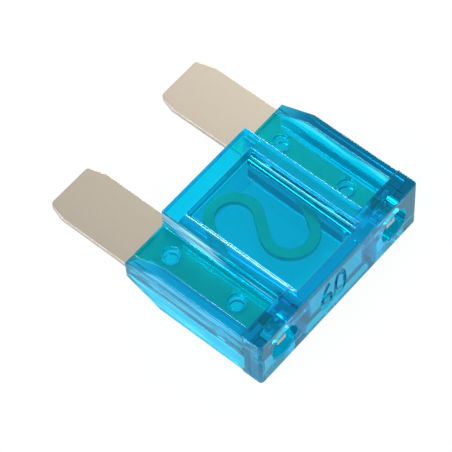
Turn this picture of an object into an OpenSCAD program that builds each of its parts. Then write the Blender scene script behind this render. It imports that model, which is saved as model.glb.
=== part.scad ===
// Blade fuse of the large heavy-current size, 29.2 mm wide, lying flat on one of its broad faces.
// One clear blue moulded housing, and one flat metal stamping pushed into it from the mouth.
// Millimetres. X across the two blades, Y from the head towards the blade tips, Z the thickness.

/* [Housing] */
// Width across the two side rails
housing_w = 29.2; // [28.8:0.1:32]
// Length of the moulding, from the end of the head to the mouth
housing_l = 21; // [20.8:0.1:24]
// Thickness at the mouth, where the moulding is thickest
housing_t = 8.9; // [8.2:0.1:10]
// Thickness at the end of the head, thinner by the draft of the mould
head_t = 8.5; // [8:0.1:8.9]
// Depth of the head bar that carries the test holes
head_l = 2.9; // [2.6:0.1:3.6]
// Radius of the upright corners of the head
head_corner_r = 0.5; // [0.2:0.1:1]
// Width of the middle block around the link
block_w = 15.5; // [14.5:0.1:16.5]
// Thickness of the thin side panels around the metal
panel_t = 3; // [2.4:0.1:3.8]
// Width of each side rail
rail_w = 1.5; // [1.2:0.1:1.8]
// Height of each side rail
rail_t = 8; // [5:0.1:8.2]
// Length over which a rail slopes down to its panel at the mouth
ramp_l = 5.2; // [3:0.1:8]

/* [Link chamber] */
// Width of the chamber at the mouth
chamber_mouth_w = 10.9; // [10.5:0.1:11.8]
// Width of the chamber at its blind end
chamber_end_w = 10.3; // [9.4:0.1:10.4]
// Height of the chamber at the mouth
chamber_mouth_t = 4.5; // [4:0.1:4.6]
// Height of the chamber at its blind end
chamber_end_t = 4; // [3:0.1:4.2]
// Wall between the chamber and the end of the head
chamber_wall = 1.9; // [1.4:0.1:2.4]
// Radius of the corners at the blind end of the chamber
chamber_r = 0.5; // [0.3:0.1:2]
// Depth of the wider recess at the mouth
recess_l = 2.1; // [1:0.1:2.6]
// Width of that recess, which leaves a thin wall on each side of the block
recess_w = 14.4; // [12:0.1:14.4]
// Height of that recess
recess_t = 4.8; // [4.6:0.1:5.2]

/* [Window pockets] */
// Depth of the pocket over the chamber on each broad face
pocket_l = 1.2; // [0.6:0.1:1.3]
// Width of a pocket at its rim
pocket_w = 11.8; // [10.8:0.1:12.4]
// Distance from the end of the head to the rim of a pocket
pocket_start = 1.6; // [1.2:0.1:3]
// Distance from the mouth to the rim of a pocket
pocket_mouth = 2.5; // [2:0.1:4]
// How much a pocket narrows on each side from its rim to its floor
pocket_draft = 0.35; // [0.1:0.05:0.6]

/* [Metal stamping] */
// Thickness of the sheet metal
metal_t = 0.8; // [0.6:0.05:1.2]
// Width of each blade
blade_w = 8.1; // [7.4:0.1:8.1]
// Gap between the two blades
blade_gap = 12.2; // [12.2:0.1:12.6]
// Length of each blade beyond the mouth
blade_reach = 13; // [10:0.1:16]
// How far the tip corners are cut back along the blade
tip_cut_l = 2.3; // [1:0.1:3.5]
// How far the tip corners are cut back across the blade
tip_cut_w = 0.7; // [0.3:0.1:1.5]
// Width of the stamping that stays inside a side panel
body_w = 5.9; // [5.5:0.1:6.2]
// Length over which a blade narrows to that width inside the mouth
shoulder_l = 2; // [1.4:0.1:2.6]
// Distance from the end of the head to the straight end of the stamping
body_start = 3.6; // [3.2:0.1:4.4]
// Width of the tab that can be probed through a test hole
tab_w = 1.6; // [1.4:0.1:3.2]
// Distance from the end of the head to the tip of the tab
tab_start = 0.5; // [0.2:0.1:1.2]

/* [Fusible link] */
// Width of the S-shaped strip
link_w = 1.4; // [1.1:0.1:1.8]
// Radius of the two loops, to the middle of the strip
loop_r = 3.05; // [2.6:0.05:3.2]
// Sideways distance of each loop's centre from the middle of the fuse
loop_x = 1.4; // [1.3:0.05:1.6]
// Lengthways distance of each loop's centre from the middle of the link
loop_y = 3.2; // [3.1:0.05:3.8]
// Distance from the end of the head to the middle of the link
link_mid = 12; // [11.3:0.1:12.2]
// Angle at which a loop straightens towards its blade
loop_end_angle = 35; // [25:1:40]
// Distance before the blade at which the strip starts to widen
root_l = 1.8; // [0.6:0.1:2.4]
// Angle of the widened side, measured from straight across the fuse
root_angle = 64; // [60:1:75]

/* [Test holes and stakes] */
// Diameter of the test holes in the head
test_hole_d = 4.6; // [4:0.1:5]
// Depth of the test holes
test_hole_l = 2.2; // [1.6:0.1:2.4]
// Distance between the two test holes, and between the two rows of stakes
hole_pitch = 20.4; // [20:0.1:20.8]
// Diameter of the plastic stakes that lock the stamping
stake_d = 2.1; // [1.6:0.1:2.4]
// Depth of the punch mark on each stake
dimple_l = 0.45; // [0.2:0.05:0.6]
// Distance from the mouth to the outer pair of stakes
stake_mouth = 3.45; // [3.3:0.05:4.5]
// Distance from the end of the head to the inner pair of stakes
stake_head = 7.35; // [6.6:0.05:8.5]

/* [Fits] */
// Clearance on each side of the sheet metal in its slot
slot_clear = 0.05; // [0.02:0.01:0.1]
// Clearance around the edges of the stamping
edge_clear = 0.1; // [0.05:0.01:0.15]
// Clearance around each stake in its hole
stake_clear = 0.15; // [0.05:0.01:0.25]

/* [Hidden] */
$fn = 48;
// Length by which a cut runs past the face that it opens
over = 1;
overall_l = housing_l + blade_reach;
// Places measured along the fuse from the end of the head
body_end = housing_l - shoulder_l;
stake_rows = [housing_l - stake_mouth, stake_head];
hole_x = hole_pitch / 2;
slot_t = metal_t + 2 * slot_clear;
blade_in = blade_gap / 2;
blade_out = blade_in + blade_w;
body_out = blade_in + body_w;
draft = (housing_t - head_t) / 2;
// Inner edge of the slots, inside the chamber so that they open into it
slot_in = chamber_end_w / 2 - over;
// Straight steps that make one loop of the link
loop_steps = 36;

// Puts a thing drawn from the end of the head and the middle plane into the lying frame
module lying() {
    translate([0, -overall_l / 2, housing_t / 2]) children();
}

// Repeats a thing on both blades, half a turn about the middle line of the fuse
module both_sides() {
    for (side = [-1, 1]) scale_x(side) children();
}

module scale_x(side) {
    if (side > 0) children();
    else mirror([1, 0, 0]) children();
}

// A flat outline given as [y, z] points, made solid over a width across X
module across(width) {
    translate([-width / 2, 0, 0]) rotate([90, 0, 90]) linear_extrude(width) children();
}

// A flat outline given as [x, y] points, made solid over a height through the middle plane
module through(height) {
    translate([0, 0, -height / 2]) linear_extrude(height) children();
}

// Rectangle from x0 to x1 and y0 to y1
module plate(x0, x1, y0, y1) {
    translate([x0, y0]) square([x1 - x0, y1 - y0]);
}

// Side view of the drafted head and block
module drafted_side(length) {
    slope = draft / housing_l;
    end_z = head_t / 2 + slope * length;
    polygon([[0, -head_t / 2], [length, -end_z], [length, end_z], [0, head_t / 2]]);
}

// Head bar, with its upright corners rounded
module head_bar() {
    r = head_corner_r;
    half_w = housing_w / 2;
    intersection() {
        across(housing_w + over) drafted_side(head_l);
        through(housing_t + over) union() {
            plate(-half_w + r, half_w - r, 0, head_l);
            plate(-half_w, half_w, r, head_l);
            for (x = [-half_w + r, half_w - r]) translate([x, r]) circle(r);
        }
    }
}

module middle_block() {
    across(block_w) drafted_side(housing_l);
}

module side_panel() {
    through(panel_t) plate(block_w / 2 - over, housing_w / 2 - rail_w + over / 2, head_l - over, housing_l);
}

// Side rail, full height along the head side and sloping down to the panel at the mouth
module side_rail() {
    bend = housing_l - ramp_l;
    translate([housing_w / 2 - rail_w / 2, 0, 0])
        across(rail_w)
            polygon([
                [head_l - over, -rail_t / 2], [bend, -rail_t / 2], [housing_l, -panel_t / 2],
                [housing_l, panel_t / 2], [bend, rail_t / 2], [head_l - over, rail_t / 2]
            ]);
}

// Open chamber around the link, drafted in width and in height
module chamber() {
    end_y = chamber_wall;
    mouth_y = housing_l + over;
    grow = (mouth_y - end_y) / (housing_l - end_y);
    half_w = chamber_end_w / 2 + (chamber_mouth_w - chamber_end_w) / 2 * grow;
    half_t = chamber_end_t / 2 + (chamber_mouth_t - chamber_end_t) / 2 * grow;
    r = chamber_r;
    end_w = chamber_end_w / 2;
    intersection() {
        across(housing_w)
            polygon([
                [end_y, -chamber_end_t / 2], [mouth_y, -half_t],
                [mouth_y, half_t], [end_y, chamber_end_t / 2]
            ]);
        through(housing_t) union() {
            polygon([
                [-end_w, end_y + r], [-end_w + r, end_y], [end_w - r, end_y],
                [end_w, end_y + r], [half_w, mouth_y], [-half_w, mouth_y]
            ]);
            for (x = [-end_w + r, end_w - r]) translate([x, end_y + r]) circle(r);
        }
    }
}

// Wider, square-cornered start of the chamber at the mouth
module recess() {
    through(recess_t) plate(-recess_w / 2, recess_w / 2, housing_l - recess_l, housing_l + over);
}

// Sunk window over the chamber on the upper face, with drafted sides
module window_pocket() {
    rim = housing_t / 2 + over;
    floor_z = head_t / 2 - pocket_l;
    grow = pocket_draft * (rim - floor_z) / pocket_l;
    start = pocket_start + pocket_draft;
    end = housing_l - pocket_mouth - pocket_draft / 2;
    half_w = pocket_w / 2 - pocket_draft;
    intersection() {
        across(housing_w)
            polygon([[start, floor_z], [end, floor_z], [end + grow / 2, rim], [start - grow, rim]]);
        rotate([-90, 0, 0]) linear_extrude(housing_l)
            polygon([[-half_w, -floor_z], [half_w, -floor_z], [half_w + grow, -rim], [-half_w - grow, -rim]]);
    }
}

function toward(angle) = [cos(angle), sin(angle)];
function backwards(points) = [for (i = [len(points) - 1:-1:0]) points[i]];
function half_turn(points) = [for (p = points) -p];
function mirrored(points) = [for (p = points) [-p[0], p[1]]];
function lengthways(points, distance) = [for (p = points) p + [0, distance]];

// Tip of the right-hand blade with both corners cut back, from its inner edge to its outer one
function blade_tip() = [
    [blade_in, overall_l - tip_cut_l], [blade_in + tip_cut_w, overall_l],
    [blade_out - tip_cut_w, overall_l], [blade_out, overall_l - tip_cut_l]
];

// Shoulder, outer edge, head end and test tab of the right-hand body, grown by a clearance
function body_edge(grow) =
    let (
        start = body_start - grow,
        tab_out = hole_x + tab_w / 2 + grow,
        tab_in = hole_x - tab_w / 2 - grow
    )
    [
        [blade_out + grow, housing_l], [body_out + grow, body_end], [body_out + grow, start],
        [tab_out, start], [tab_out, tab_start], [tab_in, tab_start], [tab_in, start]
    ];

// A point beside the middle line of the right-hand loop, about the middle of the link
function on_loop(angle, outwards) = [loop_x, -loop_y] + (loop_r + outwards) * toward(angle);

// One side of the right half of the strip: from where the middle straight meets the loop, round it
function loop_side(outwards) =
    let (
        meet = 270 - atan2(loop_y, loop_x) - asin(loop_r / norm([loop_x, loop_y])),
        step = (360 - loop_end_angle - meet) / loop_steps
    )
    [for (i = [0:loop_steps]) on_loop(meet + i * step, outwards)];

// Where a side of the exit strip comes to a given distance from the middle line of the fuse
function exit_at(outwards, x) =
    let (from = on_loop(-loop_end_angle, outwards))
    from + (x - from[0]) / sin(loop_end_angle) * toward(90 - loop_end_angle);

// Side of the strip that faces the loop's centre, with a root that widens towards the blade
function inner_side() =
    let (
        side = -link_w / 2,
        root = exit_at(side, blade_in - link_w / 2 * cos(loop_end_angle) - root_l * sin(loop_end_angle))
    )
    concat(loop_side(side), [root, [blade_in, root[1] + (blade_in - root[0]) * tan(root_angle)]]);

function outer_side() = concat(loop_side(link_w / 2), [exit_at(link_w / 2, blade_in)]);

// Whole outline of the stamping. The strip repeats half a turn round, the blades are mirror images
module stamping_outline() {
    blade = concat(blade_tip(), body_edge(0), [[blade_in, body_start]]);
    inner = inner_side();
    outer = backwards(outer_side());
    polygon(concat(
        lengthways(inner, link_mid), blade, lengthways(outer, link_mid),
        lengthways(half_turn(inner), link_mid), backwards(mirrored(blade)),
        lengthways(half_turn(outer), link_mid)
    ));
}

// Clear blue moulded housing, one piece
module housing() {
    color([0.05, 0.6, 0.8, 0.6])
    lying() {
        difference() {
            union() {
                head_bar();
                middle_block();
                both_sides() {
                    side_panel();
                    side_rail();
                }
            }
            chamber();
            recess();
            for (side = [0, 1]) mirror([0, 0, side]) window_pocket();
            both_sides() {
                metal_slot();
                test_hole();
                for (y = stake_rows) dimples(y);
            }
        }
    }
}

// Slot for one side of the stamping, left out where the stakes bridge it
module metal_slot() {
    difference() {
        through(slot_t)
            polygon(concat(
                [[slot_in, housing_l + over], [blade_out + edge_clear, housing_l + over]],
                body_edge(edge_clear),
                [[slot_in, body_start - edge_clear]]
            ));
        for (y = stake_rows) translate([hole_x, y, 0]) cylinder(h = slot_t, d = stake_d, center = true);
    }
}

module test_hole() {
    translate([hole_x, -over, 0]) rotate([-90, 0, 0]) cylinder(h = test_hole_l + over, d = test_hole_d);
}

// Punch marks over one stake, on both faces of the panel
module dimples(y) {
    for (side = [-1, 1])
        translate([hole_x, y, side * (panel_t / 2 + over / 2)])
            cylinder(h = 2 * dimple_l + over, d = stake_d, center = true);
}

// Flat stamping: two blades, their bodies with stake holes and test tabs, and the S-shaped link
module fuse_element() {
    color([0.78, 0.74, 0.66])
    lying()
    through(metal_t) difference() {
        stamping_outline();
        both_sides() for (y = stake_rows) translate([hole_x, y]) circle(d = stake_d + 2 * stake_clear);
    }
}

housing();
fuse_element();
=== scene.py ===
"""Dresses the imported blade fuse: clear blue plastic, rolled metal, a sunk number and a pale studio."""

import math

import bmesh
import bpy
from bpy.props import FloatProperty, FloatVectorProperty, PointerProperty, StringProperty
from mathutils import Euler, Matrix, Vector


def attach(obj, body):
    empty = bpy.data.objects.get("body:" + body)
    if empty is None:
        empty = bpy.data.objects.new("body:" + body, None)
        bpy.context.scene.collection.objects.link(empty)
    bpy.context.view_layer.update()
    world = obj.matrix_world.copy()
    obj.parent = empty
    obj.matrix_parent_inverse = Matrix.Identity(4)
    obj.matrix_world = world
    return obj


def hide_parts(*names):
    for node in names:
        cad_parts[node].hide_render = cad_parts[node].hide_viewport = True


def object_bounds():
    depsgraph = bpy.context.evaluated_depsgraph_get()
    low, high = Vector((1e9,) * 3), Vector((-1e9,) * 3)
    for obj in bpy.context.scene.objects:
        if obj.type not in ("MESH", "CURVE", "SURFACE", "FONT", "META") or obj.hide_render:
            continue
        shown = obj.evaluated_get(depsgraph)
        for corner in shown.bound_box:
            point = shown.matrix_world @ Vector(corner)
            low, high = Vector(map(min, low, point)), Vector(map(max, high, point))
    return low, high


bl_info = {
    "name": "Blade Fuse Studio",
    "version": (1, 0, 0),
    "blender": (4, 5, 0),
    "location": "View3D > Sidebar > Blade Fuse",
    "description": "Finishes, marking and studio for a clear blue automotive blade fuse",
    "category": "Object",
}

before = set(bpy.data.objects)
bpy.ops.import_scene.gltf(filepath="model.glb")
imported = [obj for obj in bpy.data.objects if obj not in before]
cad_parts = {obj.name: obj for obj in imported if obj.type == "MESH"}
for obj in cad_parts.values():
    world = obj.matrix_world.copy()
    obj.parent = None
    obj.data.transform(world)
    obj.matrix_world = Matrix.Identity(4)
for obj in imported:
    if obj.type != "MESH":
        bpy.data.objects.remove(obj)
cad_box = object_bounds()

MM = 0.001

# Distances that count as none, angles that count as flat or sharp, and the share of an edge's run
# from which it counts as along an axis
WELD = 0.0001 * MM
NEAR = 0.01 * MM
FLAT_ANGLE = math.radians(0.5)
SHARP_ANGLE = math.radians(30)
ALONG_AXIS = 0.9

# Places on the housing, measured from the middle plane
SLOT_HALF = 0.5 * MM
PANEL_HALF = 1.5 * MM
CHAMBER_TOP = 2.9 * MM
BLOCK_HALF = 4 * MM
RIM_HEIGHT = 4 * MM

# Places on the housing, measured from the middle line
POCKET_HALF = 6.5 * MM
CHAMBER_HALF = 7.3 * MM
BLOCK_SIDE = 7.75 * MM
RAIL_INSIDE = 13 * MM

# Places on both pieces, measured from the head end
NUMBER_DEPTH = 0.4 * MM
HEAD_WALL = 1.5 * MM
HEAD_BACK = 2.9 * MM
TAB_END = 3 * MM
RECESS_START = 18 * MM
POCKET_END = 19.5 * MM
BARE_START = 20.5 * MM
TIP_START = 31.5 * MM

# Widths over which one look passes into the next
SOFT = MM
RIM_SOFT = 0.1 * MM
GLOSS_SOFT = 0.2 * MM
CHAMBER_SOFT = 0.5 * MM
HALVES_SOFT = 10 * MM

# Scales of the noises, per metre, with the stretched ones across, along and up
CLOUD_SCALE = 700.0
WAVE_SCALE = 180.0
STREAK_SCALE = (1100.0, 90.0, 1100.0)
GRAIN_SCALE = (6000.0, 500.0, 6000.0)
HANDLING_SCALE = 260.0

# How fine the grain is, the middle value of a noise, and how strongly noises and rounded edges act
GRAIN_DETAIL = 3.0
NOISE_MIDDLE = 0.5
LINE_CONTRAST = 6
EDGE_CONTRAST = 4
CLOUD_LOW = 0.6
CLOUD_SHARE = 0.8
HANDLING_SHARE = 0.1
GRAIN_SHARE = 0.08
GRAIN_HEIGHT = 0.004 * MM

# Steps of rounded shapes, and the largest share that the even shading takes
CURVE_STEPS = 4
ROUND_STEPS = 4
FULL_WEIGHT = 100

# Outer and inner angles of the soft lights, in degrees
WINDOW_ANGLES = (22, 13)
LAMP_ANGLES = (11, 6)
HALO_ANGLES = (42, 14)

# The camera's sensor in millimetres and the nearest distance it sees in metres
SENSOR_WIDTH = 36.0
NEAREST_SEEN = 0.01

WHITE = (1.0, 1.0, 1.0)

head_end = cad_box[0].y
mid_height = (cad_box[0].z + cad_box[1].z) / 2


class Signal:
    """A value in a material that Python arithmetic works on, as Math nodes."""

    def __init__(self, finish, socket):
        self.finish = finish
        self.socket = socket

    def _math(self, operation, first, second):
        return self.finish.math(operation, first, second)

    def __add__(self, other):
        return self._math("ADD", self, other)

    def __radd__(self, other):
        return self._math("ADD", other, self)

    def __sub__(self, other):
        return self._math("SUBTRACT", self, other)

    def __rsub__(self, other):
        return self._math("SUBTRACT", other, self)

    def __mul__(self, other):
        return self._math("MULTIPLY", self, other)

    def __rmul__(self, other):
        return self._math("MULTIPLY", other, self)

    def __truediv__(self, other):
        return self._math("DIVIDE", self, other)

    def __abs__(self):
        return self._math("ABSOLUTE", self, 0.0)


class Finish:
    """A material or a world under construction, made of nodes."""

    def __init__(self, name, world=None):
        self.data = world or bpy.data.materials.new(name)
        self.data.use_nodes = True
        self.tree = self.data.node_tree
        self.tree.nodes.clear()

    def node(self, kind, settings=None, **inputs):
        """Adds a node: its settings first, then the values or links of its sockets."""
        made = self.tree.nodes.new(kind)
        for name, value in (settings or {}).items():
            setattr(made, name, value)
        for name, value in inputs.items():
            self.feed(made, name, value)
        return made

    def feed(self, made, name, value):
        """Links or sets one socket, named in words or by number as in_2. A colour is set opaque."""
        key = int(name[3:]) if name.startswith("in_") else name.replace("_", " ")
        socket = made.inputs[key]
        if isinstance(value, Signal):
            self.tree.links.new(value.socket, socket)
        elif isinstance(value, bpy.types.NodeSocket):
            self.tree.links.new(value, socket)
        elif socket.type == "RGBA":
            socket.default_value = (*value, 1.0)
        else:
            socket.default_value = value

    def math(self, operation, first, second):
        made = self.node("ShaderNodeMath", {"operation": operation}, in_0=first, in_1=second)
        return Signal(self, made.outputs[0])

    def clamped(self, value):
        made = self.node("ShaderNodeClamp", Value=value)
        return Signal(self, made.outputs[0])

    def beyond(self, value, border, width):
        """Nothing up to a border, rising to one over a width past it."""
        return self.clamped((value - border) / width)

    def noise(self, place, scale, detail=2.0):
        made = self.node("ShaderNodeTexNoise", Vector=place, Scale=scale, Detail=detail)
        return Signal(self, made.outputs["Fac"])

    def mixed(self, factor, first, second):
        """The first colour where the factor is nothing, the second where it is one."""
        made = self.node("ShaderNodeMix", {"data_type": "RGBA"}, in_0=factor, in_6=first, in_7=second)
        return Signal(self, made.outputs[2])

    def facing(self, axis):
        """One on a face that looks along an axis, by its number, and nothing on a face beside it."""
        normal = self.node("ShaderNodeNewGeometry").outputs["Normal"]
        along = Signal(self, self.node("ShaderNodeSeparateXYZ", Vector=normal).outputs[axis])
        return along * along

    def uprightness(self):
        """Nothing on a level face, one on an upright face."""
        return self.clamped(1 - self.facing(2))

    def coordinates(self):
        """Object coordinates in metres, one by one."""
        where = self.node("ShaderNodeTexCoord").outputs["Object"]
        return [Signal(self, part) for part in self.node("ShaderNodeSeparateXYZ", Vector=where).outputs]

    def place(self, scale=(1.0, 1.0, 1.0)):
        """Object coordinates in metres, stretched by a scale."""
        where = self.node("ShaderNodeTexCoord").outputs["Object"]
        made = self.node("ShaderNodeVectorMath", {"operation": "MULTIPLY"}, in_0=where, in_1=scale)
        return made.outputs[0]

    def bump(self, height, distance):
        made = self.node("ShaderNodeBump", Height=height, Distance=distance, Strength=1.0)
        return made.outputs["Normal"]


class Solid:
    """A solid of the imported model, ready to be rounded: welded, with its flat faces whole."""

    def __init__(self, node):
        self.node = node
        self.mesh = bmesh.new()
        self.mesh.from_mesh(node.data)
        bmesh.ops.remove_doubles(self.mesh, verts=self.mesh.verts, dist=WELD)
        bmesh.ops.dissolve_limit(
            self.mesh, angle_limit=FLAT_ANGLE, verts=self.mesh.verts, edges=self.mesh.edges
        )

    def engrave(self, marking):
        """Cuts a marking out of the solid and drops it."""
        whole = bpy.data.meshes.new("whole")
        self.mesh.to_mesh(whole)
        self.mesh.free()
        body = on_object("body", whole)
        cut = body.modifiers.new("engraving", "BOOLEAN")
        cut.solver = "EXACT"
        cut.object = marking
        settled(body)
        self.mesh = bmesh.new()
        self.mesh.from_mesh(body.data)
        for used in (body, marking):
            bpy.data.objects.remove(used)

    def weigh(self, radius_at, largest):
        """Gives each sharp edge the share of the largest radius that it is rounded to."""
        layer = self.mesh.edges.layers.float.new("bevel_weight_edge")
        for edge in self.mesh.edges:
            if edge.calc_face_angle(0.0) > SHARP_ANGLE:
                edge[layer] = min(radius_at(Ridge(edge)) / largest, 1.0)

    def rounded(self, name, largest):
        """A new piece with the weighed edges rounded, which stands for the node."""
        sharp = bpy.data.meshes.new(name)
        self.mesh.to_mesh(sharp)
        self.mesh.free()
        piece = on_object(name, sharp)
        bevel = piece.modifiers.new("rounding", "BEVEL")
        bevel.limit_method = "WEIGHT"
        bevel.width = largest
        bevel.segments = ROUND_STEPS
        bevel.use_clamp_overlap = False
        bevel.miter_outer = "MITER_ARC"
        settled(piece)
        for face in piece.data.polygons:
            face.use_smooth = True
        piece.data.set_sharp_from_angle(angle=SHARP_ANGLE)
        even = piece.modifiers.new("even shading", "WEIGHTED_NORMAL")
        even.keep_sharp = True
        even.weight = FULL_WEIGHT
        settled(piece)
        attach(piece, "root")
        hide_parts(self.node.name)
        return piece


class Ridge:
    """An edge of a solid, placed from the middle line, the head end and the middle plane."""

    def __init__(self, edge):
        ends = [vert.co for vert in edge.verts]
        middle = (ends[0] + ends[1]) / 2 - Vector((0.0, head_end, mid_height))
        self.left = middle.x < 0
        self.x = abs(middle.x)
        self.y = middle.y
        self.z = abs(middle.z)
        self.length = (ends[1] - ends[0]).length
        run = (ends[1] - ends[0]) / self.length
        self.upright = abs(run.z) > ALONG_AXIS
        self.lengthways = abs(run.y) > ALONG_AXIS


def final_mesh(piece):
    """A new mesh of what the piece comes to, with its modifiers or as a text."""
    return bpy.data.meshes.new_from_object(piece.evaluated_get(bpy.context.evaluated_depsgraph_get()))


def settled(piece):
    """Applies what the piece's modifiers do, and takes them off."""
    shaped = final_mesh(piece)
    piece.modifiers.clear()
    piece.data = shaped


def same_place(first, second):
    """Whether two distances come to the same."""
    return abs(first - second) < NEAR


def on_object(name, data):
    """A new object of the scene that shows the data."""
    piece = bpy.data.objects.new(name, data)
    bpy.context.scene.collection.objects.link(piece)
    return piece


def upright_number(settings):
    """The plain number as a thin solid, half sunk in the end face of the head."""
    text = bpy.data.curves.new("number", "FONT")
    text.body = settings.number
    text.size = settings.number_size
    text.extrude = settings.number_depth
    text.offset = settings.number_weight
    text.align_x = "CENTER"
    text.align_y = "CENTER"
    text.resolution_u = CURVE_STEPS
    flat = on_object("number", text)
    shape = bmesh.new()
    shape.from_mesh(final_mesh(flat))
    bpy.data.objects.remove(flat)
    bmesh.ops.remove_doubles(shape, verts=shape.verts, dist=WELD)
    shape.transform(
        Matrix.Translation((settings.number_place, head_end, mid_height))
        @ Matrix.Rotation(math.radians(90), 4, "X")
        @ Matrix.Diagonal((settings.number_width, 1.0, 1.0, 1.0))
    )
    solid = bpy.data.meshes.new("number")
    shape.to_mesh(solid)
    shape.free()
    return on_object("number", solid)


def colour_setting(name, description, default):
    """A colour that the user can change."""
    return FloatVectorProperty(
        name=name, description=description, subtype="COLOR", size=3, min=0.0, max=1.0, default=default
    )


class HousingSettings(bpy.types.PropertyGroup):
    """Clear blue plastic of the moulding."""

    number: StringProperty(
        name="Number", description="Plain number in the end face of the head", default="60",
    )
    number_size: FloatProperty(
        name="Number size", description="Type size of the number", subtype="DISTANCE",
        min=0.001, max=0.008, default=0.0074,
    )
    number_width: FloatProperty(
        name="Number width", description="Width of the number as a share of the plain type",
        min=0.3, max=1.0, default=0.68,
    )
    number_place: FloatProperty(
        name="Number place", description="Middle of the number along the head", subtype="DISTANCE",
        min=-0.006, max=0.006, default=-0.0013,
    )
    number_depth: FloatProperty(
        name="Number depth", description="How deep the number is sunk", subtype="DISTANCE",
        min=0.0, max=0.0004, default=0.0003,
    )
    number_weight: FloatProperty(
        name="Number weight", description="How much bolder than the plain type the number is",
        subtype="DISTANCE", min=0.0, max=0.0003, default=0.00012,
    )

    tint: colour_setting(
        "Tint", "Colour that a thick piece keeps", (0.0, 0.9595, 0.9755),
    )
    wall_tint: colour_setting(
        "Wall tint", "Colour that each wall lets through, however thin", (0.0, 0.92, 1.0),
    )
    # Painted shade: the right rail takes this darker colour, which the ends of the head share
    head_and_shaded_rail_tint: colour_setting(
        "Head tint", "Colour that the ends of the head and the right rail let through", (0.0, 0.58, 0.68),
    )
    ceiling_tint: colour_setting(
        "Ceiling tint", "Colour that the level faces of the chamber let through", (0.0, 0.8, 0.89),
    )
    # Painted shade: the side walls of the chamber are near black
    chamber_wall_shade: colour_setting(
        "Chamber tint", "Colour that the side walls of the chamber let through", (0.0, 0.03, 0.05),
    )
    gloss_tint: colour_setting(
        "Gloss tint", "Colour of the faint reflection of a face seen from straight above",
        (0.08, 0.75, 1.0),
    )
    depth: FloatProperty(
        name="Depth of colour", description="How fast the plastic takes up light, per metre",
        min=0.0, max=5000.0, default=3400.0,
    )
    ior: FloatProperty(
        name="IOR", description="Index of refraction of polycarbonate", min=1.3, max=1.8, default=1.585,
    )
    roughness: FloatProperty(
        name="Roughness", description="Polish of the mould", min=0.0, max=1.0, default=0.035,
    )
    edge_radius: FloatProperty(
        name="Edge radius", description="Rounding of the outer edges", subtype="DISTANCE",
        min=0.0, max=0.0005, default=0.0002,
    )
    corner_radius: FloatProperty(
        name="Corner radius", description="Rounding where a side panel meets the middle block",
        subtype="DISTANCE", min=0.0, max=0.001, default=0.0006,
    )
    chamber_radius: FloatProperty(
        name="Chamber radius", description="Rounding of the edges inside the chamber",
        subtype="DISTANCE", min=0.0, max=0.0006, default=0.0003,
    )
    recess_radius: FloatProperty(
        name="Recess radius", description="Rounding of the edges of the recess at the mouth",
        subtype="DISTANCE", min=0.0, max=0.0006, default=0.0001,
    )
    rim_radius: FloatProperty(
        name="Rim radius", description="Rounding of the worn left rim of the window pockets",
        subtype="DISTANCE", min=0.0, max=0.0006, default=0.00055,
    )
    mark_radius: FloatProperty(
        name="Mark radius", description="Rounding of punch marks, test holes and panel ends",
        subtype="DISTANCE", min=0.0, max=0.00022, default=0.00021,
    )
    glint: FloatProperty(
        name="Glint", description="Share of the white gloss on rounded edges",
        min=0.0, max=1.0, default=0.6,
    )
    ripple: FloatProperty(
        name="Ripple", description="Height of the slight waves left by moulding", subtype="DISTANCE",
        min=0.0, max=0.0001, default=0.0000011,
    )
    streaks: FloatProperty(
        name="Streaks", description="Share of fine lines along the flow of the plastic in the waves",
        min=0.0, max=4.0, default=0.6,
    )
    # Painted light: the glows below are emission in the place of light that the plastic scatters and
    # leads to its faces
    flat_glow: colour_setting(
        "Flat glow", "Light that the plastic scatters out of its flat faces", (0.0, 0.02, 0.032),
    )
    side_glow: colour_setting(
        "Side glow", "Light that gathers in the plastic and leaves by its sides", (0.0, 0.13, 0.21),
    )
    head_glow: colour_setting(
        "Head glow", "Light that leaves by the sides of the head", (0.0, 0.09, 0.13),
    )
    # Painted light on the left rail only, on the side of the window
    rail_glow: colour_setting(
        "Rail glow", "Light that leaves by the top of the left rail", (0.0, 0.035, 0.075),
    )
    rim_glow: colour_setting(
        "Rim glow", "Light that leaves by the rim around the window pockets", (0.0, 0.12, 0.21),
    )
    inner_glow: colour_setting(
        "Inner glow", "Light on the middle block's walls, seen through the block", (0.0, 0.28, 0.45),
    )
    # Painted highlights: these glows follow the streak noise in lines on the walls
    wall_glow: colour_setting(
        "Wall glow", "Light that gathers along the flow lines of the middle block's walls",
        (0.34, 0.62, 0.74),
    )
    line_glow: colour_setting(
        "Line glow", "Light that gathers along the flow lines of the sides", (0.06, 0.4, 0.5),
    )


class StampingSettings(bpy.types.PropertyGroup):
    """Plated metal of the blades and the link."""

    colour: colour_setting(
        "Colour", "Warm grey of the rolled faces", (0.7, 0.625, 0.505),
    )
    # Painted shade: this colour darkens the bare blade towards the left
    bare_shade_colour: colour_setting(
        "Dull colour", "Colour where the bare blades have been handled", (0.55, 0.487, 0.405),
    )
    fresh_colour: colour_setting(
        "Fresh colour", "Colour of the sheet that the plastic covers", (0.98, 0.95, 0.72),
    )
    # Painted shade: this colour darkens the covered sheet towards the left
    covered_shade_colour: colour_setting(
        "Covered colour", "Colour of the covered sheet on the duller side", (0.76, 0.74, 0.56),
    )
    edge_colour: colour_setting(
        "Edge colour", "Colour of the sheared edges", (0.72, 0.68, 0.62),
    )
    tab_colour: colour_setting(
        "Tab colour", "Colour of the tabs in the test holes", (0.72, 0.76, 0.78),
    )
    roughness: FloatProperty(
        name="Roughness", description="Satin of the rolled faces", min=0.0, max=1.0, default=0.42,
    )
    burr_radius: FloatProperty(
        name="Burr radius", description="Rounding of the sheared edges", subtype="DISTANCE",
        min=0.0, max=0.0002, default=0.0001,
    )
    corner_radius: FloatProperty(
        name="Corner radius", description="Rounding of the corners at the tips of the blades",
        subtype="DISTANCE", min=0.0, max=0.0008, default=0.0006,
    )
    tip_radius: FloatProperty(
        name="Tip radius", description="Coined rounding at the tips of the blades", subtype="DISTANCE",
        min=0.0, max=0.0004, default=0.00025,
    )


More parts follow.
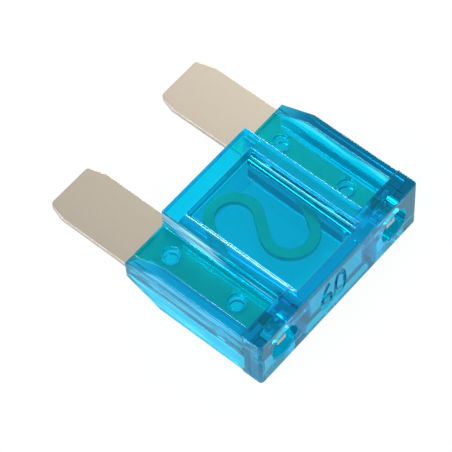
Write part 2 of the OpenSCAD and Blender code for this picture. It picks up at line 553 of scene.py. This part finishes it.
class StudioSettings(bpy.types.PropertyGroup):
    """Camera, floor and light."""

    floor_size: FloatProperty(
        name="Floor size", description="Side of the floor", subtype="DISTANCE", default=2.0, min=0.1,
    )
    floor_colour: colour_setting(
        "Floor colour", "Pale grey-white of the floor", (0.75, 0.75, 0.75),
    )
    floor_white: FloatProperty(
        name="Floor white", description="Strength of the plain white of the floor",
        default=1.03, min=0.0,
    )
    floor_plain: FloatProperty(
        name="Floor seen", description="How far the floor is plain white in the camera, over its shadow",
        default=0.93, min=0.0, max=1.0,
    )
    floor_mirrored: FloatProperty(
        name="Floor mirrored", description="How far the floor is plain white in reflections",
        default=0.25, min=0.0, max=1.0,
    )
    # Painted light: the floor under the plastic glows in a tint, with painted shade towards the right
    floor_through: FloatProperty(
        name="Floor through", description="How far the floor glows in its tint through the plastic",
        default=0.4, min=0.0, max=1.0,
    )
    floor_slope: FloatProperty(
        name="Floor slope", description="How fast that glow fades towards the right, per millimetre",
        default=0.036, min=0.0, max=0.06,
    )
    floor_tint: colour_setting(
        "Floor tint", "Colour of the floor's glow that the plastic shows", (0.3, 0.78, 1.0),
    )
    sky_low: FloatProperty(
        name="Low sky", description="Strength of the light from the horizon", default=0.26, min=0.0,
    )
    sky_high: FloatProperty(
        name="High sky", description="Strength of the light from straight above", default=0.76, min=0.0,
    )
    window: FloatProperty(
        name="Window", description="Strength that the broad soft light on the left adds",
        default=5.2, min=0.0,
    )
    window_way: FloatVectorProperty(
        name="Window direction", description="Where the broad soft light stands", subtype="DIRECTION",
        size=3, default=(-0.85, 0.3, 0.42),
    )
    lamp: FloatProperty(
        name="Lamp", description="Strength that the small soft light on the right adds",
        default=11.0, min=0.0,
    )
    halo: FloatProperty(
        name="Halo", description="Strength of the wide soft light around the small one",
        default=1.8, min=0.0,
    )
    lamp_way: FloatVectorProperty(
        name="Lamp direction", description="Where the small soft light stands", subtype="DIRECTION",
        size=3, default=(0.9, 0.33, 0.22),
    )
    camera_azimuth: FloatProperty(
        name="Azimuth", description="Turn of the camera about the vertical", subtype="ANGLE",
        default=math.radians(-46.3),
    )
    camera_elevation: FloatProperty(
        name="Elevation", description="Height of the camera above the horizon", subtype="ANGLE",
        default=math.radians(58.4),
    )
    camera_roll: FloatProperty(
        name="Roll", description="Turn of the camera about its own line of sight", subtype="ANGLE",
        default=math.radians(4.0),
    )
    camera_distance: FloatProperty(
        name="Distance", description="From the camera to the point it looks at", subtype="DISTANCE",
        default=0.297, min=0.05,
    )
    camera_lens: FloatProperty(
        name="Lens", description="Focal length in millimetres", default=196.6, min=20.0,
    )
    camera_aim: FloatVectorProperty(
        name="Aim", description="Point that the camera looks at", subtype="XYZ", size=3,
        default=(-0.001916, -0.000896, 0.003217),
    )


class Regions:
    """Where a point of the housing lies, as signals: one within a region, nothing outside it.

    The wall runs from the chamber outwards, and the side is all that lies beyond the middle block.
    """

    def __init__(self, finish):
        across, along, height = finish.coordinates()
        from_middle = abs(across)
        from_plane = abs(height - mid_height)
        self.upright = finish.uprightness()
        self.sideways = finish.facing(0)
        self.right = finish.beyond(across, -HALVES_SOFT / 2, HALVES_SOFT)
        self.wall = finish.beyond(from_middle, CHAMBER_HALF, BLOCK_SIDE - CHAMBER_HALF)
        self.side = finish.beyond(from_middle, BLOCK_SIDE + SOFT, SOFT)
        self.head = 1 - finish.beyond(along, head_end + HEAD_BACK, SOFT)
        self.head_ends = self.head * finish.beyond(from_middle, POCKET_HALF, SOFT)
        topmost = finish.beyond(from_plane, RIM_HEIGHT, RIM_SOFT)
        self.rim = topmost * (1 - self.side) * (1 - self.head_ends)
        self.rail = self.side * (1 - self.head) * finish.beyond(from_plane, PANEL_HALF + SOFT, SOFT)
        self.proud = finish.beyond(from_plane, PANEL_HALF + GLOSS_SOFT / 2, GLOSS_SOFT)
        above_chamber = finish.beyond(from_plane, CHAMBER_TOP - CHAMBER_SOFT, CHAMBER_SOFT)
        self.chamber = (1 - self.wall) * (1 - above_chamber) * (1 - self.head)


def plastic_glow(finish, settings, regions, streaks):
    """Painted light, as emission, in the place of the light that scatters inside the plastic and leaves
    it.
    """
    # Painted highlights: lines of glow along the streak noise on the walls
    lines = finish.clamped(LINE_CONTRAST * (streaks - NOISE_MIDDLE) * regions.sideways * regions.wall)
    streak_glow = finish.mixed(regions.side, settings.wall_glow, settings.line_glow)
    gathered = finish.mixed(lines, settings.side_glow, streak_glow)
    around = finish.mixed(regions.head, gathered, settings.head_glow)
    sides = finish.mixed(regions.sideways * (1 - regions.wall), around, settings.flat_glow)
    # Painted light on the top of the left rail only
    left_rail = regions.rail * (1 - regions.right)
    broad = finish.mixed(left_rail, settings.flat_glow, settings.rail_glow)
    level = finish.mixed(regions.rim, broad, settings.rim_glow)
    outward = finish.mixed(regions.upright, level, sides)
    block_wall = regions.upright * regions.wall * (1 - regions.side)
    inward = finish.mixed(block_wall, settings.flat_glow, settings.inner_glow)
    from_inside = Signal(finish, finish.node("ShaderNodeNewGeometry").outputs["Backfacing"])
    return finish.mixed(from_inside, outward, inward)


def plastic_tint(finish, settings, regions):
    """Colour that a face lets through: darker on the head's ends, painted shade on the right rail,
    slightly darker on the chamber's level faces and painted near-black shade on its side walls.
    """
    # Painted shade on the right rail, which takes the darker colour of the head's ends
    shaded = finish.clamped(regions.head_ends * (1 - regions.upright) + regions.rail * regions.right)
    outer = finish.mixed(shaded, settings.wall_tint, settings.head_and_shaded_rail_tint)
    # Painted shade: near black on the chamber's side walls
    chamber_face = finish.mixed(regions.sideways, settings.ceiling_tint, settings.chamber_wall_shade)
    return finish.mixed(regions.chamber, outer, chamber_face)


def clear_plastic(settings):
    """Clear tinted plastic, which goes deep blue where it is thick, because it takes up light."""
    finish = Finish("clear_blue_plastic")
    where = finish.place()
    cloud = finish.noise(where, CLOUD_SCALE)
    waves = finish.noise(where, WAVE_SCALE)
    streaks = finish.noise(finish.place(STREAK_SCALE), 1.0)
    regions = Regions(finish)
    on_edge = finish.clamped(EDGE_CONTRAST * regions.upright * (1 - regions.upright))
    shader = finish.node(
        "ShaderNodeBsdfPrincipled",
        Base_Color=plastic_tint(finish, settings, regions),
        Roughness=settings.roughness * (CLOUD_LOW + CLOUD_SHARE * cloud),
        IOR=settings.ior,
        Transmission_Weight=1.0,
        Specular_Tint=settings.gloss_tint,
        Normal=finish.bump(waves + settings.streaks * streaks, settings.ripple),
        Coat_Weight=settings.glint * on_edge * regions.proud,
        Coat_IOR=settings.ior,
        Emission_Color=plastic_glow(finish, settings, regions, streaks),
        Emission_Strength=1.0,
    )
    depth = finish.node("ShaderNodeVolumeAbsorption", Color=settings.tint, Density=settings.depth)
    finish.node("ShaderNodeOutputMaterial", Surface=shader.outputs[0], Volume=depth.outputs[0])
    return finish.data


def plated_metal(settings):
    """Rolled plated sheet with a fine grain along the blade, its own colour on the sheared edges, and
    painted shade towards the left.
    """
    finish = Finish("plated_zinc")
    grain = finish.noise(finish.place(GRAIN_SCALE), 1.0, GRAIN_DETAIL)
    cloud = finish.noise(finish.place(), HANDLING_SCALE)
    across, along, _ = finish.coordinates()
    half_width = cad_box[1].x
    # Painted shade: the sheet darkens towards the left, fading to the right
    painted_shade = 1 - finish.beyond(across, -half_width, 2 * half_width)
    bare = finish.beyond(along, head_end + BARE_START, SOFT)
    tab = 1 - finish.beyond(along, head_end + TAB_END - SOFT, SOFT)
    bare_colour = finish.mixed(painted_shade, settings.colour, settings.bare_shade_colour)
    covered_shade_colour = finish.mixed(painted_shade, settings.fresh_colour, settings.covered_shade_colour)
    rolled = finish.mixed(bare, covered_shade_colour, bare_colour)
    sheared = finish.mixed(finish.uprightness(), rolled, settings.edge_colour)
    shader = finish.node(
        "ShaderNodeBsdfPrincipled",
        Base_Color=finish.mixed(tab, sheared, settings.tab_colour),
        Metallic=1.0,
        Roughness=finish.clamped(settings.roughness + HANDLING_SHARE * cloud + GRAIN_SHARE * grain),
        Normal=finish.bump(grain, GRAIN_HEIGHT),
    )
    finish.node("ShaderNodeOutputMaterial", Surface=shader.outputs[0])
    return finish.data


def paint(piece, material):
    """Puts one material in every slot of a piece."""
    if not piece.data.materials:
        piece.data.materials.append(material)
    for number in range(len(piece.data.materials)):
        piece.data.materials[number] = material


class FUSE_OT_housing(bpy.types.Operator):
    """Finish the moulded housing in clear blue plastic"""

    bl_idname = "fuse.housing"
    bl_label = "Finish Housing"

    def execute(self, context):
        settings = context.scene.fuse_housing

        def radius_at(ridge):
            on_block = ridge.x < BLOCK_SIDE + NEAR
            on_panel = ridge.z < PANEL_HALF + NEAR
            # The hair-thin step between the head and the middle block is too small to round.
            if ridge.z > BLOCK_HALF and on_block and same_place(ridge.y, HEAD_BACK):
                return 0.0
            # The sunk number stays crisp.
            if ridge.y < NUMBER_DEPTH and ridge.x < CHAMBER_HALF and ridge.z < BLOCK_HALF:
                return 0.0
            # The slots around the metal stay sharp.
            if ridge.z < SLOT_HALF and (ridge.length < 2 * SLOT_HALF or not ridge.upright):
                return 0.0
            if ridge.x < CHAMBER_HALF and ridge.y > HEAD_WALL and ridge.z < BLOCK_HALF:
                return settings.chamber_radius if ridge.y < RECESS_START else settings.recess_radius
            if ridge.lengthways and same_place(ridge.x, BLOCK_SIDE) and on_panel:
                return settings.corner_radius
            if BLOCK_SIDE + MM < ridge.x < RAIL_INSIDE and on_panel:
                return settings.mark_radius
            if ridge.left and ridge.lengthways and ridge.x < POCKET_HALF and ridge.y < POCKET_END:
                return settings.rim_radius
            return settings.edge_radius

        solid = Solid(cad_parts["housing"])
        solid.engrave(upright_number(settings))
        solid.weigh(radius_at, settings.corner_radius)
        piece = solid.rounded("moulded_housing", settings.corner_radius)
        material = clear_plastic(settings)
        paint(piece, material)
        paint(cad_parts["housing"], material)
        return {"FINISHED"}


class FUSE_OT_stamping(bpy.types.Operator):
    """Finish the metal stamping as rolled plated sheet"""

    bl_idname = "fuse.stamping"
    bl_label = "Finish Stamping"

    def execute(self, context):
        settings = context.scene.fuse_stamping

        def radius_at(ridge):
            if ridge.y < TIP_START:
                return settings.burr_radius
            return settings.corner_radius if ridge.upright else settings.tip_radius

        solid = Solid(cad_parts["fuse_element"])
        solid.weigh(radius_at, settings.corner_radius)
        piece = solid.rounded("metal_stamping", settings.corner_radius)
        material = plated_metal(settings)
        paint(piece, material)
        paint(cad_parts["fuse_element"], material)
        return {"FINISHED"}


def camera_frame(settings):
    """The camera's right, up and back directions as a rotation."""
    azimuth = settings.camera_azimuth
    elevation = settings.camera_elevation
    back = Vector((
        math.sin(azimuth) * math.cos(elevation),
        -math.cos(azimuth) * math.cos(elevation),
        math.sin(elevation),
    ))
    right = Vector((math.cos(azimuth), math.sin(azimuth), 0.0))
    up = back.cross(right)
    level = Matrix((right, up, back)).transposed()
    return level @ Euler((0.0, 0.0, -settings.camera_roll)).to_matrix(), back


def add_camera(settings):
    """The photo's view, through a long lens."""
    turn, back = camera_frame(settings)
    camera = on_object("camera", bpy.data.cameras.new("camera"))
    camera.matrix_world = Matrix.Translation(
        Vector(settings.camera_aim) + settings.camera_distance * back
    ) @ turn.to_4x4()
    camera.data.sensor_width = SENSOR_WIDTH
    camera.data.lens = settings.camera_lens
    camera.data.clip_start = NEAREST_SEEN
    bpy.context.scene.camera = camera


def add_floor(settings):
    """A pale floor, almost plain white to the camera, with a painted tinted glow, fading to the right,
    where the clear plastic shows it.
    """
    half = settings.floor_size / 2
    mesh = bpy.data.meshes.new("floor")
    corners = [(-half, -half, 0.0), (half, -half, 0.0), (half, half, 0.0), (-half, half, 0.0)]
    mesh.from_pydata(corners, [], [(0, 1, 2, 3)])
    floor = on_object("floor", mesh)
    finish = Finish("floor")
    matt = finish.node("ShaderNodeBsdfDiffuse", Color=settings.floor_colour)
    white = finish.node("ShaderNodeEmission", Strength=settings.floor_white)
    ray = finish.node("ShaderNodeLightPath")
    open_view = Signal(finish, ray.outputs["Is Camera Ray"])
    mirrored = Signal(finish, ray.outputs["Is Glossy Ray"])
    through = Signal(finish, ray.outputs["Is Transmission Ray"])
    tinted = finish.node("ShaderNodeEmission", Color=settings.floor_tint)
    share = finish.clamped(settings.floor_plain * open_view + settings.floor_mirrored * mirrored)
    across = finish.coordinates()[0]
    # Painted light under the plastic, fading towards the right as painted shade
    lit = finish.clamped(settings.floor_through * (1 - across * settings.floor_slope / MM))
    seen = finish.node("ShaderNodeMixShader", in_0=share, in_1=matt.outputs[0], in_2=white.outputs[0])
    both = finish.node(
        "ShaderNodeMixShader", in_0=lit * through, in_1=seen.outputs[0], in_2=tinted.outputs[0]
    )
    finish.node("ShaderNodeOutputMaterial", Surface=both.outputs[0])
    paint(floor, finish.data)


def add_sky(settings):
    """Light that grows towards straight above, a broad window, and a small lamp with a halo."""
    world = bpy.data.worlds.new("studio")
    bpy.context.scene.world = world
    finish = Finish("studio", world)
    way = finish.node("ShaderNodeTexCoord").outputs["Generated"]
    height = finish.clamped(Signal(finish, finish.node("ShaderNodeSeparateXYZ", Vector=way).outputs[2]))

    def patch(toward, angles):
        """One within the inner angle about a direction, and nothing beyond the outer one."""
        outer, inner = (math.cos(math.radians(angle)) for angle in angles)
        middle = Vector(toward).normalized()
        facing = finish.node("ShaderNodeVectorMath", {"operation": "DOT_PRODUCT"}, in_0=way, in_1=middle)
        soft = finish.node(
            "ShaderNodeMapRange", {"interpolation_type": "SMOOTHSTEP"}, Value=facing.outputs["Value"],
            From_Min=outer, From_Max=inner,
        )
        return Signal(finish, soft.outputs[0])

    strength = (
        (settings.sky_low + (settings.sky_high - settings.sky_low) * height)
        + settings.window * patch(settings.window_way, WINDOW_ANGLES)
        + settings.lamp * patch(settings.lamp_way, LAMP_ANGLES)
        + settings.halo * patch(settings.lamp_way, HALO_ANGLES)
    )
    ray = finish.node("ShaderNodeLightPath")
    seen = Signal(finish, ray.outputs["Is Camera Ray"])
    sky = finish.node("ShaderNodeBackground", Color=WHITE, Strength=strength * (1 - seen) + seen)
    finish.node("ShaderNodeOutputWorld", Surface=sky.outputs[0])


class FUSE_OT_studio(bpy.types.Operator):
    """Build the pale floor, the soft light and the camera"""

    bl_idname = "fuse.studio"
    bl_label = "Build Studio"

    def execute(self, context):
        settings = context.scene.fuse_studio
        add_camera(settings)
        add_floor(settings)
        add_sky(settings)
        context.scene.view_settings.view_transform = "Standard"
        return {"FINISHED"}


OPERATORS = (FUSE_OT_housing, FUSE_OT_stamping, FUSE_OT_studio)
SETTINGS = {
    "fuse_housing": HousingSettings,
    "fuse_stamping": StampingSettings,
    "fuse_studio": StudioSettings,
}


class FUSE_PT_panel(bpy.types.Panel):
    """Steps that dress the fuse, in order"""

    bl_label = "Blade Fuse"
    bl_space_type = "VIEW_3D"
    bl_region_type = "UI"
    bl_category = "Blade Fuse"

    def draw(self, context):
        for step in OPERATORS:
            self.layout.operator(step.bl_idname)
        for name, group in SETTINGS.items():
            box = self.layout.box()
            for setting in group.__annotations__:
                box.prop(getattr(context.scene, name), setting)


def register():
    for name, group in SETTINGS.items():
        bpy.utils.register_class(group)
        setattr(bpy.types.Scene, name, PointerProperty(type=group))
    for made in (*OPERATORS, FUSE_PT_panel):
        bpy.utils.register_class(made)


def unregister():
    for made in reversed((*OPERATORS, FUSE_PT_panel)):
        bpy.utils.unregister_class(made)
    for name, group in SETTINGS.items():
        delattr(bpy.types.Scene, name)
        bpy.utils.unregister_class(group)


def main():
    register()
    bpy.ops.fuse.housing()
    bpy.ops.fuse.stamping()
    bpy.ops.fuse.studio()


if __name__ == "__main__":
    main()
